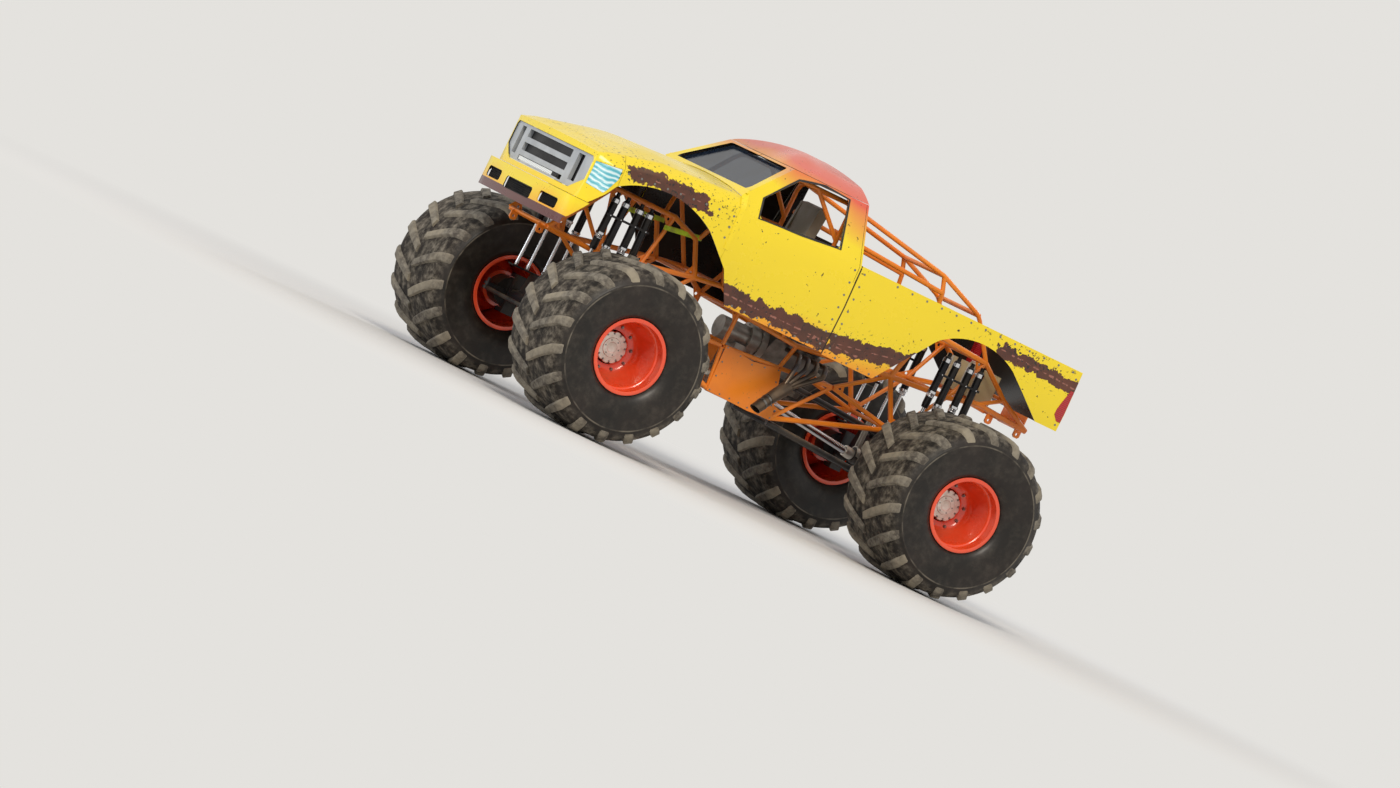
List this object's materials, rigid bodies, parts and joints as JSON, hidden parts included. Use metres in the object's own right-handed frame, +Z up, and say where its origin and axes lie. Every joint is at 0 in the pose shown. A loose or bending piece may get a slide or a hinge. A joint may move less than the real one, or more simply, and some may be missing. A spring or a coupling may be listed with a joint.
{
  "type": "monster truck",
  "caption": "Monster truck: pickup body on a tubular frame with wide chevron-lug tyres, steering front and rear axles and an open engine amidships.",
  "frame": {"origin": "on the floor, under the middle of the overall length and width", "axes": "+X towards the front of the truck, +Y towards its left side, +Z up"},
  "size_m": [5.7, 3.8, 3.17],
  "materials": {
    "frame_paint": "orange gloss powder coat",
    "body_paint": "yellow to red-orange faded paint on fibreglass",
    "trim": "silver-grey grille",
    "lens": "pale printed lamps",
    "clear": "clear polycarbonate",
    "seat_shell": "grey-tan moulded shell",
    "cast": "bare cast and machined aluminium",
    "exhaust": "dark heat-stained steel tube",
    "panel": "beige painted tank",
    "axle_paint": "black paint",
    "shock": "black body with a bright rod",
    "bright": "chromed steel",
    "rim_paint": "red-orange gloss paint",
    "tyre": "dusty black rubber"
  },
  "bodies": {
    "chassis": {"frame_left": "frame_paint", "frame_right": "frame_paint", "frame_cross": "frame_paint", "roll_cage": "frame_paint", "belly_panels": "frame_paint", "hood": "body_paint", "fender_left": "body_paint", "fender_right": "body_paint", "nose": "body_paint", "bumper": "body_paint", "grille": "trim", "lamps": "lens", "cab_left": "body_paint", "cab_right": "body_paint", "cab_back": "body_paint", "roof": "body_paint", "windscreen": "clear", "bed_left": "body_paint", "bed_right": "body_paint", "tailgate": "body_paint", "seat": "seat_shell", "engine": "cast", "headers": "exhaust", "gearbox": "cast", "driveshafts": "bright", "fuel_cell": "panel", "axle_front": "axle_paint", "axle_rear": "axle_paint", "suspension_links": "axle_paint", "shocks": "shock", "steering_barrels": "axle_paint"},
    "knuckle_front_left": {"knuckle_front_left": "axle_paint"},
    "wheel_front_left": {"rim_front_left": "rim_paint", "tyre_front_left": "tyre"},
    "knuckle_front_right": {"knuckle_front_right": "axle_paint"},
    "wheel_front_right": {"rim_front_right": "rim_paint", "tyre_front_right": "tyre"},
    "tie_rod_front": {"tie_rod_front": "axle_paint"},
    "ram_rod_front": {"ram_rod_front": "bright"},
    "knuckle_rear_left": {"knuckle_rear_left": "axle_paint"},
    "wheel_rear_left": {"rim_rear_left": "rim_paint", "tyre_rear_left": "tyre"},
    "knuckle_rear_right": {"knuckle_rear_right": "axle_paint"},
    "wheel_rear_right": {"rim_rear_right": "rim_paint", "tyre_rear_right": "tyre"},
    "tie_rod_rear": {"tie_rod_rear": "axle_paint"},
    "ram_rod_rear": {"ram_rod_rear": "bright"}
  },
  "joints": [
    {"name": "steer_front_left", "type": "hinge", "parent": "chassis", "child": "knuckle_front_left", "pos_m": [2, 0.88, 0.825], "axis": [0, 0, 1], "range_deg": [-25, 25]},
    {"name": "roll_front_left", "type": "hinge", "parent": "knuckle_front_left", "child": "wheel_front_left", "pos_m": [2, 1.37, 0.825], "axis": [0, 1, 0], "continuous": true},
    {"name": "steer_front_right", "type": "hinge", "parent": "chassis", "child": "knuckle_front_right", "pos_m": [2, -0.88, 0.825], "axis": [0, 0, 1], "range_deg": [-25, 25]},
    {"name": "roll_front_right", "type": "hinge", "parent": "knuckle_front_right", "child": "wheel_front_right", "pos_m": [2, -1.37, 0.825], "axis": [0, 1, 0], "continuous": true},
    {"name": "tie_front", "type": "hinge", "parent": "knuckle_front_left", "child": "tie_rod_front", "pos_m": [2.26, 0.88, 0.825], "axis": [0, 0, 1], "range_deg": [-25, 25]},
    {"name": "ram_front", "type": "slide", "parent": "chassis", "child": "ram_rod_front", "axis": [0, 1, 0], "range_m": [-0.1154, 0.1154]},
    {"name": "steer_rear_left", "type": "hinge", "parent": "chassis", "child": "knuckle_rear_left", "pos_m": [-1.8, 0.88, 0.825], "axis": [0, 0, 1], "range_deg": [-20, 20]},
    {"name": "roll_rear_left", "type": "hinge", "parent": "knuckle_rear_left", "child": "wheel_rear_left", "pos_m": [-1.8, 1.37, 0.825], "axis": [0, 1, 0], "continuous": true},
    {"name": "steer_rear_right", "type": "hinge", "parent": "chassis", "child": "knuckle_rear_right", "pos_m": [-1.8, -0.88, 0.825], "axis": [0, 0, 1], "range_deg": [-20, 20]},
    {"name": "roll_rear_right", "type": "hinge", "parent": "knuckle_rear_right", "child": "wheel_rear_right", "pos_m": [-1.8, -1.37, 0.825], "axis": [0, 1, 0], "continuous": true},
    {"name": "tie_rear", "type": "hinge", "parent": "knuckle_rear_left", "child": "tie_rod_rear", "pos_m": [-2.06, 0.88, 0.825], "axis": [0, 0, 1], "range_deg": [-20, 20]},
    {"name": "ram_rear", "type": "slide", "parent": "chassis", "child": "ram_rod_rear", "axis": [0, 1, 0], "range_m": [-0.0928, 0.0928]}
  ],
  "couplings": [
    {"joint": "steer_front_right", "follows": "steer_front_left", "ratio": 1},
    {"joint": "tie_front", "follows": "steer_front_left", "ratio": -1},
    {"joint": "ram_front", "follows": "steer_front_left", "m_per_rad": 0.26},
    {"joint": "steer_rear_right", "follows": "steer_rear_left", "ratio": 1},
    {"joint": "tie_rear", "follows": "steer_rear_left", "ratio": -1},
    {"joint": "ram_rear", "follows": "steer_rear_left", "m_per_rad": -0.26}
  ]
}
